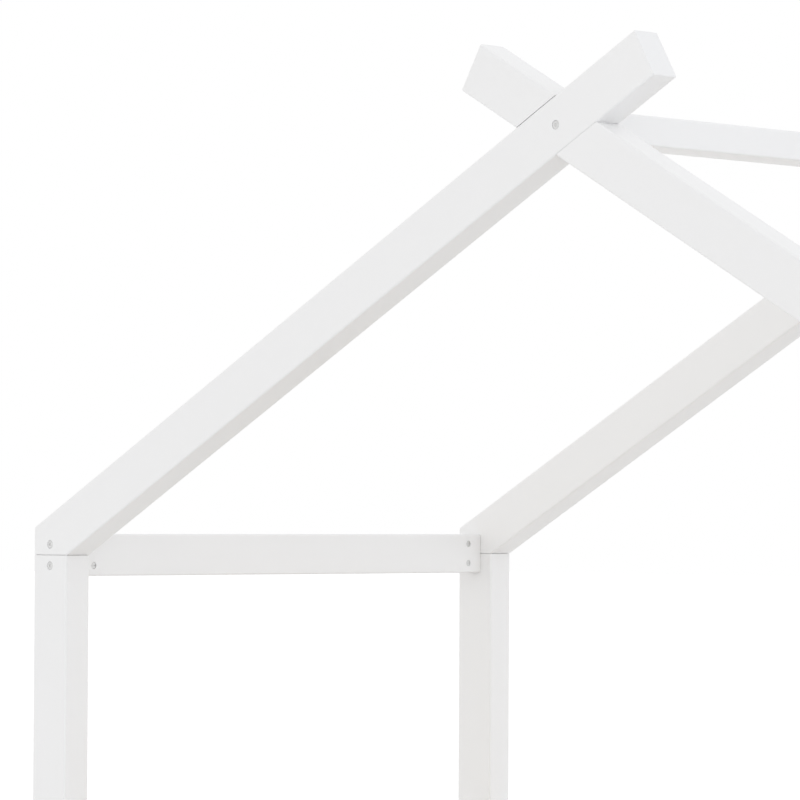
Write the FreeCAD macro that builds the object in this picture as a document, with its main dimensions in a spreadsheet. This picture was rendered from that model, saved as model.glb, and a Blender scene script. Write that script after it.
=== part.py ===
import FreeCAD, Part
import math
import os

import Sketcher

# House frame bed for a 900 x 2000 mm mattress, built from painted timber.
# Millimetres, +Z up, +X along the long side, +Y from the front gable to the rear one.
# The origin is on the floor, in the middle of the bed's footprint.

# ---------------------------------------------------------------- driving sizes

SIZES = {
    # the whole frame
    "frame_length": 2100.0,  # over the posts, along X
    "frame_width": 1000.0,  # over the posts, along Y
    "post_height": 705.0,  # floor to the seam under the rafter feet
    "roof_pitch": 29.5,  # slope of the rafters, in degrees
    # timber sections
    "post_width": 72.0,  # along X; the rafter foot sits on the same width
    "post_depth": 48.0,  # along Y; the rafters are of the same stock
    "rafter_depth": 72.0,  # square to the slope, in the plane of the gable
    "rafter_overhang": 180.0,  # from the crossing's centre to the free end
    "ridge_width": 72.0,  # the ridge beam lies flat
    "ridge_height": 42.0,
    "rail_thickness": 26.0,
    "eaves_rail_height": 64.0,
    "bed_rail_height": 120.0,
    "bed_rail_bottom": 140.0,  # floor to the underside of the side and end rails
    "ledger_width": 25.0,
    "ledger_height": 30.0,
    "ledger_end_gap": 10.0,  # from each end of a ledger to the post
    "slat_width": 70.0,
    "slat_thickness": 15.0,
    "slat_count": 14,
    "slat_end_gap": 2.0,  # from each end of a slat to the side rail
    "slat_drop": 60.0,  # from the top of the side rail down to the slats
    # softened edges
    "edge_radius": 3.0,  # long edges of posts, rafters, ridge and rails
    "end_arris": 0.8,  # bevel round post tops, rafters' free ends and eaves rails' ends
    "seam_height": 0.6,  # shadow groove round a rafter foot, over the post
    "seam_depth": 3.0,
    "strip_bevel": 1.5,  # long edges of slats and ledgers
    # crossing of two rafters
    "lap_clearance": 0.15,  # on each side of the notch
    # bolts and barrel nuts
    "bolt_diameter": 6.0,
    "bolt_clearance": 1.0,  # hole over bolt, on the diameter
    "head_diameter": 12.0,
    "head_thickness": 4.8,
    "head_clearance": 0.4,  # counterbore over head, on the diameter
    "counterbore_depth": 5.0,
    "socket_across_flats": 4.0,
    "socket_depth": 2.0,
    "eaves_bolt_pitch": 32.0,
    "bed_bolt_offset": 18.0,  # end rails' bolts above a bed rail's middle, side rails' below
    "nut_setback": 30.0,  # from a rail's end to its barrel nuts
    "nut_diameter": 10.0,
    "nut_length": 18.0,
    "nut_thread_depth": 12.4,  # from the slotted end to the bolt's axis
    "nut_clearance": 0.2,  # hole over nut, on the diameter
    "thread_clearance": 0.1,  # nut's cross hole over bolt, on the diameter
    "nut_slot_width": 1.4,
    "nut_slot_depth": 1.6,
    "bolt_tip": 2.0,  # bolt beyond the far side of the nut
    "bore_run_out": 3.0,  # bore beyond the tip of the bolt
    # stub tenons on the bed's side and end rails
    "tenon_length": 12.0,
    "tenon_thickness": 14.0,
    "tenon_height": 84.0,
    "mortise_clearance": 0.2,  # all round the tenon, and at its end
    # dowels
    "dowel_diameter": 8.0,
    "dowel_clearance": 0.2,  # socket over dowel, on the diameter
    "dowel_end_gap": 1.0,
    "foot_dowel_depth": 20.0,  # into the post, and as far into the rafter foot
    "foot_dowel_spacing": 36.0,
    "ridge_dowel_depth": 15.0,
    "ridge_dowel_spacing": 44.0,
}

# Small round features repeat some 130 times, so they are drawn as regular prisms:
# finer where they show on a face of the bed, coarser where timber hides them.
SHOWN_SIDES = 12
HIDDEN_SIDES = 8
HEXAGON = 6

document = FreeCAD.newDocument("house_frame_bed")
sheet = document.addObject("Spreadsheet::Sheet", "Sizes")
for row, (alias, number) in enumerate(SIZES.items(), 1):
    sheet.set(f"A{row}", alias)
    sheet.set(f"B{row}", str(number))
    sheet.setAlias(f"B{row}", alias)
document.recompute()


class Size:
    """A length or ratio that keeps its value now and the sheet expression behind it."""

    def __init__(self, value, text):
        self.value = value
        self.text = text

    def __add__(self, other):
        other = as_size(other)
        return Size(self.value + other.value, f"({self.text} + {other.text})")

    def __sub__(self, other):
        other = as_size(other)
        return Size(self.value - other.value, f"({self.text} - {other.text})")

    def __mul__(self, other):
        other = as_size(other)
        return Size(self.value * other.value, f"({self.text} * {other.text})")

    def __truediv__(self, other):
        other = as_size(other)
        return Size(self.value / other.value, f"({self.text} / {other.text})")

    def __neg__(self):
        return self * -1


def as_size(number):
    return number if isinstance(number, Size) else Size(float(number), f"({number})")


def size(alias):
    return Size(float(SIZES[alias]), f"Sizes.{alias}")


ZERO = as_size(0)

frame_length = size("frame_length")
frame_width = size("frame_width")
post_height = size("post_height")
post_width = size("post_width")
post_depth = size("post_depth")
rafter_depth = size("rafter_depth")
rafter_overhang = size("rafter_overhang")
ridge_width = size("ridge_width")
ridge_height = size("ridge_height")
rail_thickness = size("rail_thickness")
bed_rail_height = size("bed_rail_height")
bed_rail_bottom = size("bed_rail_bottom")
ledger_width = size("ledger_width")
ledger_height = size("ledger_height")
slat_width = size("slat_width")
slat_thickness = size("slat_thickness")
edge_radius = size("edge_radius")
end_arris = size("end_arris")
seam_depth = size("seam_depth")
counterbore_depth = size("counterbore_depth")
bolt_diameter = size("bolt_diameter")
head_thickness = size("head_thickness")
eaves_bolt_pitch = size("eaves_bolt_pitch")
bed_bolt_offset = size("bed_bolt_offset")
nut_setback = size("nut_setback")
nut_diameter = size("nut_diameter")
nut_length = size("nut_length")
nut_thread_depth = size("nut_thread_depth")
tenon_length = size("tenon_length")
tenon_thickness = size("tenon_thickness")
tenon_height = size("tenon_height")
dowel_diameter = size("dowel_diameter")
dowel_end_gap = size("dowel_end_gap")
foot_dowel_depth = size("foot_dowel_depth")
foot_dowel_spacing = size("foot_dowel_spacing")
ridge_dowel_depth = size("ridge_dowel_depth")
ridge_dowel_spacing = size("ridge_dowel_spacing")

# Sizes that follow from the driving ones.

PITCH = math.radians(SIZES["roof_pitch"])
pitch_cosine = Size(math.cos(PITCH), "cos(Sizes.roof_pitch)")
pitch_sine = Size(math.sin(PITCH), "sin(Sizes.roof_pitch)")
pitch_tangent = Size(math.tan(PITCH), "tan(Sizes.roof_pitch)")

half_length = frame_length / 2
half_width = frame_width / 2
bolt_hole = bolt_diameter + size("bolt_clearance")
nut_hole = nut_diameter + size("nut_clearance")
head_seat = size("head_diameter") + size("head_clearance")
dowel_hole = dowel_diameter + size("dowel_clearance")

# The rafters meet over the middle of the bed; this is the crossing's centre above the seam.
crossing_rise = (half_length - post_width) * pitch_tangent + rafter_depth / 2 / pitch_cosine
crossing_height = post_height + crossing_rise
# Height of a rafter foot's upright outer cut.
heel_height = (rafter_depth - post_width * pitch_sine) / pitch_cosine
# Lower edge of a rafter, from the post's inner corner to the free end.
lower_edge = (
    (half_length - post_width) / pitch_cosine
    + rafter_depth / 2 * pitch_tangent
    + rafter_overhang
)

gable_span = frame_length - post_width * 2
cross_span = frame_width - post_depth * 2
bed_rail_middle = bed_rail_bottom + bed_rail_height / 2
slat_underside = bed_rail_bottom + bed_rail_height - size("slat_drop") - slat_thickness
end_rail_inner = half_length - post_width / 2 - rail_thickness / 2
side_rail_inner = half_width - post_depth / 2 - rail_thickness / 2

# From a rail's end to the tip of its bolt, and to the end of the bore.
bolt_reach = nut_setback + nut_diameter / 2 + size("bolt_tip")
bore_depth = bolt_reach + size("bore_run_out")

UP = FreeCAD.Vector(0, 0, 1)
ALONG = FreeCAD.Vector(1, 0, 0)
ACROSS = FreeCAD.Vector(0, 1, 0)

# ---------------------------------------------------------------- building blocks

parts = []


def bind(thing, property_name, length):
    """Gives a property its value and ties it to the sheet."""
    if "." not in property_name:
        setattr(thing, property_name, length.value)
    thing.setExpression(property_name, length.text)


def place(thing, x, y, z, rotation):
    """Puts a sub-part in the frame: its angle is fixed and its place follows the sheet."""
    where = FreeCAD.Vector(x.value, y.value, z.value)
    thing.Placement = FreeCAD.Placement(where, rotation)
    for axis, length in (("x", x), ("y", y), ("z", z)):
        bind(thing, f"Placement.Base.{axis}", length)


def turn(degrees):
    return FreeCAD.Rotation(UP, degrees)


def facing(first, third):
    """Rotation that takes local X to the first direction and local Z to the third."""
    return FreeCAD.Rotation(first, third.cross(first), third, "ZXY")


def new_body(name):
    body = document.addObject("PartDesign::Body", name)
    body.Label = name
    parts.append(body)
    return body


def new_feature(body, kind, what):
    return body.newObject(f"PartDesign::{kind}", f"{body.Label}_{what}")


def origin_plane(body, role):
    return next(plane for plane in body.Origin.OriginFeatures if plane.Role == role)


def new_sketch(body, what, role, lift=None):
    """A sketch on one of the body's origin planes, or lifted off it along its normal."""
    sketch = body.newObject("Sketcher::SketchObject", f"{body.Label}_{what}_sketch")
    sketch.AttachmentSupport = [(origin_plane(body, role), "")]
    sketch.MapMode = "FlatFace"
    if lift is not None:
        offset = FreeCAD.Vector(0, 0, lift.value)
        sketch.AttachmentOffset = FreeCAD.Placement(offset, FreeCAD.Rotation())
        bind(sketch, "AttachmentOffset.Base.z", lift)
    return sketch


def dimension(sketch, name, constraint, length):
    index = sketch.addConstraint(constraint)
    sketch.renameConstraint(index, name)
    sketch.setExpression(f"Constraints.{name}", length.text)


def fix_point(sketch, name, geometry, position, x, y):
    """Dimensions a point of the sketch from its origin."""
    origin = (-1, 1)
    along = Sketcher.Constraint("DistanceX", *origin, geometry, position, x.value)
    dimension(sketch, f"{name}_x", along, x)
    above = Sketcher.Constraint("DistanceY", *origin, geometry, position, y.value)
    dimension(sketch, f"{name}_y", above, y)


def draw_outline(sketch, corners):
    """A closed outline of straight lines through the corners."""
    start, end = 1, 2
    first = sketch.GeometryCount
    points = [FreeCAD.Vector(x.value, y.value, 0) for x, y in corners]
    for here, there in zip(points, points[1:] + points[:1]):
        sketch.addGeometry(Part.LineSegment(here, there), False)
    for number, (x, y) in enumerate(corners):
        line = first + number
        following = first + (number + 1) % len(points)
        sketch.addConstraint(Sketcher.Constraint("Coincident", line, end, following, start))
        fix_point(sketch, f"corner_{line}", line, start, x, y)


def draw_rectangle(sketch, wide, high, x=ZERO, y=ZERO):
    """A rectangle around a centre, which is the sketch's origin unless one is given."""
    left, right = x - wide / 2, x + wide / 2
    low, top = y - high / 2, y + high / 2
    draw_outline(sketch, [(left, low), (right, low), (right, top), (left, top)])


def draw_bores(sketch, centres, diameter, sides):
    """Regular polygons whose flats touch circles of the diameter, for pins to pass freely."""
    start, end, centre_point = 1, 2, 3
    corner_circle = diameter / math.cos(math.pi / sides)
    radius = corner_circle.value / 2
    for number, (x, y) in enumerate(centres):
        middle = FreeCAD.Vector(x.value, y.value, 0)
        circle = sketch.addGeometry(Part.Circle(middle, UP, radius), True)
        first = sketch.GeometryCount
        rays = [math.tau * side / sides for side in range(sides + 1)]
        corners = [middle + FreeCAD.Vector(math.cos(a), math.sin(a), 0) * radius for a in rays]
        for here, there in zip(corners, corners[1:]):
            sketch.addGeometry(Part.LineSegment(here, there), False)
        for side in range(sides):
            line, following = first + side, first + (side + 1) % sides
            sketch.addConstraint(Sketcher.Constraint("Coincident", line, end, following, start))
            sketch.addConstraint(Sketcher.Constraint("PointOnObject", line, start, circle))
            if side:
                sketch.addConstraint(Sketcher.Constraint("Equal", first, line))
        level = Sketcher.Constraint("Horizontal", circle, centre_point, first, start)
        sketch.addConstraint(level)
        fix_point(sketch, f"centre_{number}", circle, centre_point, x, y)
        across = Sketcher.Constraint("Diameter", circle, corner_circle.value)
        dimension(sketch, f"diameter_{number}", across, corner_circle)


def pad(body, sketch, length, symmetric=False, backwards=False):
    feature = new_feature(body, "Pad", "pad")
    feature.Profile = sketch
    bind(feature, "Length", length)
    feature.Reversed = backwards
    if symmetric:
        feature.SideType = "Symmetric"
    document.recompute()
    return feature


def check_cut(body, feature, volume_before):
    """Stops the build if a cut points away from the wood."""
    document.recompute()
    if not feature.Shape.Volume < volume_before:
        raise RuntimeError(f"{feature.Label} removes nothing from {body.Label}")
    return feature


def pocket(body, sketch, depth, backwards=False):
    volume = body.Shape.Volume
    feature = new_feature(body, "Pocket", sketch.Label.replace("_sketch", ""))
    feature.Profile = sketch
    bind(feature, "Length", depth)
    feature.Reversed = backwards
    return check_cut(body, feature, volume)


def bolt_holes(body, what, role, centres, grip, backwards=False):
    """Clearance bores through the timber, with a flat-bottomed seat for each bolt head."""
    for kind, diameter, sides, depth in (
        ("seats", head_seat, SHOWN_SIDES, counterbore_depth),
        ("bores", bolt_hole, HIDDEN_SIDES, grip),
    ):
        sketch = new_sketch(body, f"{what}_{kind}", role)
        draw_bores(sketch, centres, diameter, sides)
        pocket(body, sketch, depth, backwards)


def mortise(body, what, role, middle, face, backwards):
    """A socket for a bed rail's stub tenon, sunk from the face that the rail meets."""
    room = size("mortise_clearance")
    wide, high = tenon_thickness + room * 2, tenon_height + room * 2
    sketch = new_sketch(body, what, role, lift=face)
    draw_rectangle(sketch, wide, high, middle, bed_rail_middle)
    pocket(body, sketch, tenon_length + room, backwards)


def mirror_ends(body, features):
    """Repeats features at the other end of a piece that is centred on its own origin."""
    volume = body.Shape.Volume
    mirrored = new_feature(body, "Mirrored", "other_end")
    mirrored.Originals = features
    mirrored.MirrorPlane = (origin_plane(body, "YZ_Plane"), [""])
    body.Tip = mirrored
    return check_cut(body, mirrored, volume)


def parallel_to(*directions):
    """Picks straight edges that run along any of the directions."""

    def wanted(edge):
        if edge.Curve.TypeId != "Part::GeomLine":
            return False
        tangent = edge.tangentAt(edge.FirstParameter)
        return any(tangent.cross(way).Length < 1e-6 for way in directions)

    return wanted


def in_plane(point, normal):
    """Picks edges that lie in the plane through a point."""

    def wanted(edge):
        ends = [vertex.Point for vertex in edge.Vertexes]
        return all(abs((end - point).dot(normal)) < 1e-6 for end in ends)

    return wanted


def dress_edges(body, kind, property_name, base, wanted, amount):
    """A fillet or a chamfer on the edges of a feature that are wanted."""
    names = [f"Edge{i}" for i, edge in enumerate(base.Shape.Edges, 1) if wanted(edge)]
    feature = new_feature(body, kind, f"{kind.lower()}_{len(body.Group)}")
    feature.Base = (base, names)
    bind(feature, property_name, amount)
    document.recompute()
    return feature


def round_edges(body, base, wanted, radius):
    return dress_edges(body, "Fillet", "Radius", base, wanted, radius)


def bevel_edges(body, base, wanted, amount):
    return dress_edges(body, "Chamfer", "Size", base, wanted, amount)


# ---------------------------------------------------------------- posts


def foot_dowel_centres(hand):
    """Where the dowels stand in the seam between a post and its rafter foot."""
    middle = post_width / 2 * hand
    half_spacing = foot_dowel_spacing / 2
    return [(middle - half_spacing, post_depth / 2), (middle + half_spacing, post_depth / 2)]


def make_post(name, hand, x, y, rotation):
    """A corner post. Its own origin is the outer bottom corner: the hand says which way the
    width runs from there (1 or -1 along X), and the depth runs along +Y from the outer face."""
    body = new_body(name)
    inward = post_width * hand
    section = new_sketch(body, "section", "XY_Plane")
    draw_outline(
        section, [(ZERO, ZERO), (inward, ZERO), (inward, post_depth), (ZERO, post_depth)]
    )
    stick = pad(body, section, post_height)
    rounded = round_edges(body, stick, parallel_to(UP), edge_radius)
    bevel_edges(body, rounded, in_plane(UP * post_height.value, UP), end_arris)

    # Through the depth: the eaves rail's lower bolt, and the end rail's one with its tenon.
    middle = post_width / 2 * hand
    gable_rows = (post_height - eaves_bolt_pitch / 2, bed_rail_middle + bed_bolt_offset)
    gable_centres = [(middle, row) for row in gable_rows]
    bolt_holes(body, "gable_bolt", "XZ_Plane", gable_centres, post_depth)
    # The front plane's normal points outwards, so the inner face lies at -post_depth.
    mortise(body, "end_rail_mortise", "XZ_Plane", middle, -post_depth, backwards=True)

    # Through the width: the side rail's bolt, lower down so that the two pass each other.
    side_centre = (post_depth / 2, bed_rail_middle - bed_bolt_offset)
    bolt_holes(body, "side_bolt", "YZ_Plane", [side_centre], post_width, backwards=hand > 0)
    mortise(body, "side_rail_mortise", "YZ_Plane", post_depth / 2, inward, backwards=hand < 0)

    # Sockets in the top for the two dowels that locate the rafter foot.
    top = new_sketch(body, "dowel_sockets", "XY_Plane", lift=post_height)
    draw_bores(top, foot_dowel_centres(hand), dowel_hole, HIDDEN_SIDES)
    pocket(body, top, foot_dowel_depth)
    place(body, x, y, ZERO, rotation)


# ---------------------------------------------------------------- rafters


def make_rafter(name, hand, outer_half, x, y, rotation):
    """A rafter with a level foot that sits on the post and a square-cut free end. Two rafters
    cross flush in a halving joint: one keeps its outer half there, the other its inner half.
    Its own origin is the outer bottom corner of the foot, as on the post."""
    body = new_body(name)
    end_x = post_width + lower_edge * pitch_cosine
    end_z = lower_edge * pitch_sine
    outline = [
        (ZERO, ZERO),
        (post_width, ZERO),
        (end_x, end_z),
        (end_x - rafter_depth * pitch_sine, end_z + rafter_depth * pitch_cosine),
        (ZERO, heel_height),
    ]
    profile = new_sketch(body, "profile", "XZ_Plane")
    draw_outline(profile, [(across * hand, up) for across, up in outline])
    stick = pad(body, profile, post_depth, backwards=True)
    slope = FreeCAD.Vector(pitch_cosine.value * hand, 0, pitch_sine.value)
    rounded = round_edges(body, stick, parallel_to(slope, UP), edge_radius)
    end_point = FreeCAD.Vector(end_x.value * hand, 0, end_z.value)
    bevel_edges(body, rounded, in_plane(end_point, slope), end_arris)

    # A thin groove all round the foot shows as the seam; the land inside it meets the post.
    groove = new_sketch(body, "seam_groove", "XY_Plane")
    for spread in (seam_depth, -seam_depth):
        draw_rectangle(
            groove,
            post_width + spread * 2,
            post_depth + spread * 2,
            post_width / 2 * hand,
            post_depth / 2,
        )
    pocket(body, groove, size("seam_height"), backwards=True)

    # The notch is the other rafter's width, square to its slope, and half the depth deep.
    # It runs on past this rafter's edges, so that it clears them at any pitch.
    half_band = rafter_depth / 2 + size("lap_clearance")
    half_run = rafter_depth / 2 * pitch_cosine / pitch_sine + rafter_depth
    notch = []
    for run, band in ((1, 1), (-1, 1), (-1, -1), (1, -1)):
        across = half_length - half_run * run * pitch_cosine + half_band * band * pitch_sine
        up = crossing_rise + half_run * run * pitch_sine + half_band * band * pitch_cosine
        notch.append((across * hand, up))
    # The front plane's normal points out of the gable, so the inner face lies at -post_depth.
    lift = -post_depth if outer_half else None
    crossing = new_sketch(body, "halving", "XZ_Plane", lift=lift)
    draw_outline(crossing, notch)
    pocket(body, crossing, post_depth / 2, backwards=outer_half)

    # The foot's bolt and the crossing's bolt; in the notch the head's seat is open already.
    foot_centre = (post_width / 2 * hand, eaves_bolt_pitch / 2)
    crossing_centre = (half_length * hand, crossing_rise)
    bolt_holes(body, "gable_bolt", "XZ_Plane", [foot_centre, crossing_centre], post_depth)

    foot = new_sketch(body, "foot_dowels", "XY_Plane")
    draw_bores(foot, foot_dowel_centres(hand), dowel_hole, HIDDEN_SIDES)
    pocket(body, foot, foot_dowel_depth, backwards=True)

    if not outer_half:
        half_spacing = ridge_dowel_spacing / 2
        ridge_centres = [
            (half_length * hand - half_spacing, crossing_rise),
            (half_length * hand + half_spacing, crossing_rise),
        ]
        back = new_sketch(body, "ridge_dowels", "XZ_Plane", lift=-post_depth)
        draw_bores(back, ridge_centres, dowel_hole, HIDDEN_SIDES)
        pocket(body, back, ridge_dowel_depth, backwards=True)
    place(body, x, y, post_height, rotation)


# ---------------------------------------------------------------- rails and ridge beam


def make_rail(name, length, thickness, height, bolt_rows, dowel_rows=(), tenon=ZERO, arris=ZERO):
    """A rail, centred on its own origin: its length along X, and its barrel nuts let in from
    the -Y face. Each bolt row is a height at which both ends take a bolt. The length is
    measured between the shoulders, and a stub tenon may stand out beyond each of them. Ends
    that stay in view may have a bevelled arris."""
    body = new_body(name)
    section = new_sketch(body, "section", "YZ_Plane")
    draw_rectangle(section, thickness, height)
    stick = pad(body, section, length, symmetric=True)
    dressed = round_edges(body, stick, parallel_to(ALONG), edge_radius)
    if arris.value:
        for end in (length / 2, -length / 2):
            dressed = bevel_edges(body, dressed, in_plane(ALONG * end.value, ALONG), arris)
    if tenon.value:
        tongue = new_sketch(body, "tenons", "YZ_Plane")
        draw_rectangle(tongue, tenon_thickness, tenon_height)
        pad(body, tongue, length + tenon * 2, symmetric=True)

    end_face = length / 2
    bores = new_sketch(body, "bolt_bores", "YZ_Plane", lift=end_face + tenon)
    draw_bores(bores, [(ZERO, row) for row in bolt_rows], bolt_hole, HIDDEN_SIDES)
    cuts = [pocket(body, bores, bore_depth + tenon)]

    nuts = new_sketch(body, "nut_holes", "XZ_Plane", lift=thickness / 2)
    nut_centres = [(end_face - nut_setback, row) for row in bolt_rows]
    draw_bores(nuts, nut_centres, nut_hole, SHOWN_SIDES)
    cuts.append(pocket(body, nuts, thickness / 2 + nut_length - nut_thread_depth))

    if dowel_rows:
        dowels = new_sketch(body, "dowel_sockets", "YZ_Plane", lift=end_face)
        draw_bores(dowels, [(ZERO, row) for row in dowel_rows], dowel_hole, HIDDEN_SIDES)
        cuts.append(pocket(body, dowels, ridge_dowel_depth))
    mirror_ends(body, cuts)
    return body


# ---------------------------------------------------------------- slats and their ledgers


def make_strip(name, length, wide, high):
    """A plain strip with eased long edges: length along X, standing on its own origin."""
    body = new_body(name)
    section = new_sketch(body, "section", "YZ_Plane")
    half = wide / 2
    draw_outline(section, [(-half, ZERO), (half, ZERO), (half, high), (-half, high)])
    stick = pad(body, section, length, symmetric=True)
    bevel_edges(body, stick, parallel_to(ALONG), size("strip_bevel"))
    return body


# ---------------------------------------------------------------- fasteners


def new_solid(kind, name, **lengths):
    """A Part primitive whose sizes follow the sheet."""
    solid = document.addObject(f"Part::{kind}", name)
    for property_name, length in lengths.items():
        bind(solid, property_name, length)
    return solid


def cut(name, base, *tools):
    """The base less each tool in turn."""
    for number, tool in enumerate(tools):
        remaining = document.addObject("Part::Cut", f"{name}_{number}")
        remaining.Base = base
        remaining.Tool = tool
        base = remaining
    return base


def new_prism(name, sides, diameter, height):
    """A regular prism along Z from its own origin, with its corners on the diameter."""
    prism = new_solid("Prism", name, Circumradius=diameter / 2, Height=height)
    prism.Polygon = sides
    return prism


def make_bolt(name, grip):
    """A flat-headed bolt along +Z: the head's seat is at Z = 0, with a hexagon socket."""
    head = new_prism(f"{name}_head", SHOWN_SIDES, size("head_diameter"), head_thickness)
    place(head, ZERO, ZERO, -head_thickness, FreeCAD.Rotation())
    shank = new_prism(f"{name}_shank", HIDDEN_SIDES, bolt_diameter, grip)
    whole = document.addObject("Part::Fuse", f"{name}_blank")
    whole.Base = head
    whole.Tool = shank
    across_corners = size("socket_across_flats") / math.cos(math.pi / HEXAGON)
    socket = new_prism(f"{name}_socket", HEXAGON, across_corners, size("socket_depth"))
    place(socket, ZERO, ZERO, -head_thickness, FreeCAD.Rotation())
    return cut(name, whole, socket)


def make_barrel_nut(name):
    """A barrel nut whose slotted end is at Z = 0; the bolt passes through it along X."""
    barrel = new_prism(f"{name}_barrel", SHOWN_SIDES, nut_diameter, nut_length)
    place(barrel, ZERO, ZERO, -nut_length, FreeCAD.Rotation())
    thread = (bolt_diameter + size("thread_clearance")) / math.cos(math.pi / HIDDEN_SIDES)
    bore = new_prism(f"{name}_bore", HIDDEN_SIDES, thread, nut_diameter * 2)
    place(bore, -nut_diameter, ZERO, -nut_thread_depth, facing(ACROSS, ALONG))
    wide, deep = size("nut_slot_width"), size("nut_slot_depth")
    slot = new_solid("Box", f"{name}_slot", Length=nut_diameter * 2, Width=wide, Height=deep)
    place(slot, -nut_diameter, -wide / 2, -deep, FreeCAD.Rotation())
    return cut(name, barrel, bore, slot)


def make_dowel(name, length):
    """A dowel along Z, centred on its own origin."""
    dowel = new_prism(name, HIDDEN_SIDES, dowel_diameter, length)
    place(dowel, ZERO, ZERO, -length / 2, FreeCAD.Rotation())
    holder = document.addObject("Part::Compound", f"{name}_centred")
    holder.Links = [dowel]
    return holder


def mirror_across(name, source, normal, level):
    """The source and its mirror image across a plane that is square to the normal."""
    image = document.addObject("Part::Mirroring", f"{name}_image")
    image.Source = source
    image.Normal = normal
    axis = "xyz"[[normal.x, normal.y, normal.z].index(1)]
    image.Base = normal * level.value
    image.setExpression(f"Base.{axis}", level.text)
    both = document.addObject("Part::Compound", name)
    both.Links = [source, image]
    return both


def make_group(name, piece, planes):
    """Repeats a placed fastener across each plane in turn, and keeps all copies as one node."""
    group = piece
    for number, (normal, level) in enumerate(planes):
        group = mirror_across(f"{name}_{number}", group, normal, level)
    group.Label = name
    parts.append(group)


# ---------------------------------------------------------------- the bed

make_post("post_front_left", 1, -half_length, -half_width, turn(0))
make_post("post_front_right", -1, half_length, -half_width, turn(0))
make_post("post_rear_right", 1, half_length, half_width, turn(180))
make_post("post_rear_left", -1, -half_length, half_width, turn(180))

make_rafter("rafter_front_left", 1, True, -half_length, -half_width, turn(0))
make_rafter("rafter_front_right", -1, False, half_length, -half_width, turn(0))
make_rafter("rafter_rear_right", 1, True, half_length, half_width, turn(180))
make_rafter("rafter_rear_left", -1, False, -half_length, half_width, turn(180))

# The ridge beam lies flat between the crossings, with its nuts let in from below.
ridge_rows = [-(ridge_dowel_spacing / 2), ridge_dowel_spacing / 2]
ridge = make_rail("ridge_beam", cross_span, ridge_height, ridge_width, [ZERO], ridge_rows)
place(ridge, ZERO, ZERO, crossing_height, facing(ACROSS, ALONG))

# Eaves rails bridge the seams; end rails close the bed's short sides. Nuts face inwards.
rail_x = half_length - post_width / 2
eaves_height = size("eaves_rail_height")
eaves_rows = [-(eaves_bolt_pitch / 2), eaves_bolt_pitch / 2]
for side_name, side in (("left", -1), ("right", 1)):
    eaves = make_rail(
        f"eaves_rail_{side_name}",
        cross_span,
        rail_thickness,
        eaves_height,
        eaves_rows,
        arris=end_arris,
    )
    place(eaves, rail_x * side, ZERO, post_height, turn(-90 * side))
    end_rail = make_rail(
        f"end_rail_{side_name}",
        cross_span,
        rail_thickness,
        bed_rail_height,
        [bed_bolt_offset],
        tenon=tenon_length,
    )
    place(end_rail, rail_x * side, ZERO, bed_rail_middle, turn(-90 * side))

# Side rails close the long sides, and each carries a ledger for the slats.
rail_y = half_width - post_depth / 2
ledger_length = gable_span - size("ledger_end_gap") * 2
ledger_y = side_rail_inner - ledger_width / 2
ledger_z = slat_underside - ledger_height
for side_name, side in (("front", -1), ("rear", 1)):
    side_rail = make_rail(
        f"side_rail_{side_name}",
        gable_span,
        rail_thickness,
        bed_rail_height,
        [-bed_bolt_offset],
        tenon=tenon_length,
    )
    place(side_rail, ZERO, rail_y * side, bed_rail_middle, turn(0 if side > 0 else 180))
    ledger = make_strip(
        f"slat_ledger_{side_name}", ledger_length, ledger_width, ledger_height
    )
    place(ledger, ZERO, ledger_y * side, ledger_z, turn(0))

# The slats share the room between the end rails in equal gaps.
slat_total = SIZES["slat_count"]
slat_count = size("slat_count")
slat_gap = (end_rail_inner * 2 - slat_width * slat_count) / (slat_count + 1)
slat_pitch = slat_width + slat_gap
slat_length = side_rail_inner * 2 - size("slat_end_gap") * 2
for number in range(slat_total):
    slat = make_strip(f"slat_{number + 1:02d}", slat_length, slat_width, slat_thickness)
    slat_x = slat_pitch * (number + 0.5) - slat_pitch * slat_count / 2
    place(slat, slat_x, ZERO, slat_underside, turn(90))

# Bolts: each seat is the counterbore's floor, and each tip is just past its nut.
through_depth = post_depth - counterbore_depth + bolt_reach
through_width = post_width - counterbore_depth + bolt_reach
seat_y = -half_width + counterbore_depth
seat_x = -half_length + counterbore_depth
nut_y = -half_width + post_depth + nut_setback
nut_x = -half_length + post_width + nut_setback
MIDDLE_X = (ALONG, ZERO)
MIDDLE_Y = (ACROSS, ZERO)
SEAM_LEVEL = (UP, post_height)

GABLE_JOINTS = (
    ("eaves", post_height - eaves_bolt_pitch / 2, [SEAM_LEVEL, MIDDLE_X, MIDDLE_Y]),
    ("end_rail", bed_rail_middle + bed_bolt_offset, [MIDDLE_X, MIDDLE_Y]),
)
for joint, z, planes in GABLE_JOINTS:
    bolt = make_bolt(f"{joint}_bolt", through_depth)
    place(bolt, -rail_x, seat_y, z, facing(ALONG, ACROSS))
    make_group(f"{joint}_bolts", bolt, planes)
    nut = make_barrel_nut(f"{joint}_barrel_nut")
    place(nut, -rail_x + nut_thread_depth, nut_y, z, facing(ACROSS, ALONG))
    make_group(f"{joint}_barrel_nuts", nut, planes)

bolt = make_bolt("ridge_bolt", through_depth)
place(bolt, ZERO, seat_y, crossing_height, facing(ALONG, ACROSS))
make_group("ridge_bolts", bolt, [MIDDLE_Y])
nut = make_barrel_nut("ridge_barrel_nut")
place(nut, ZERO, nut_y, crossing_height - nut_thread_depth, facing(ACROSS, -UP))
make_group("ridge_barrel_nuts", nut, [MIDDLE_Y])

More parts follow.
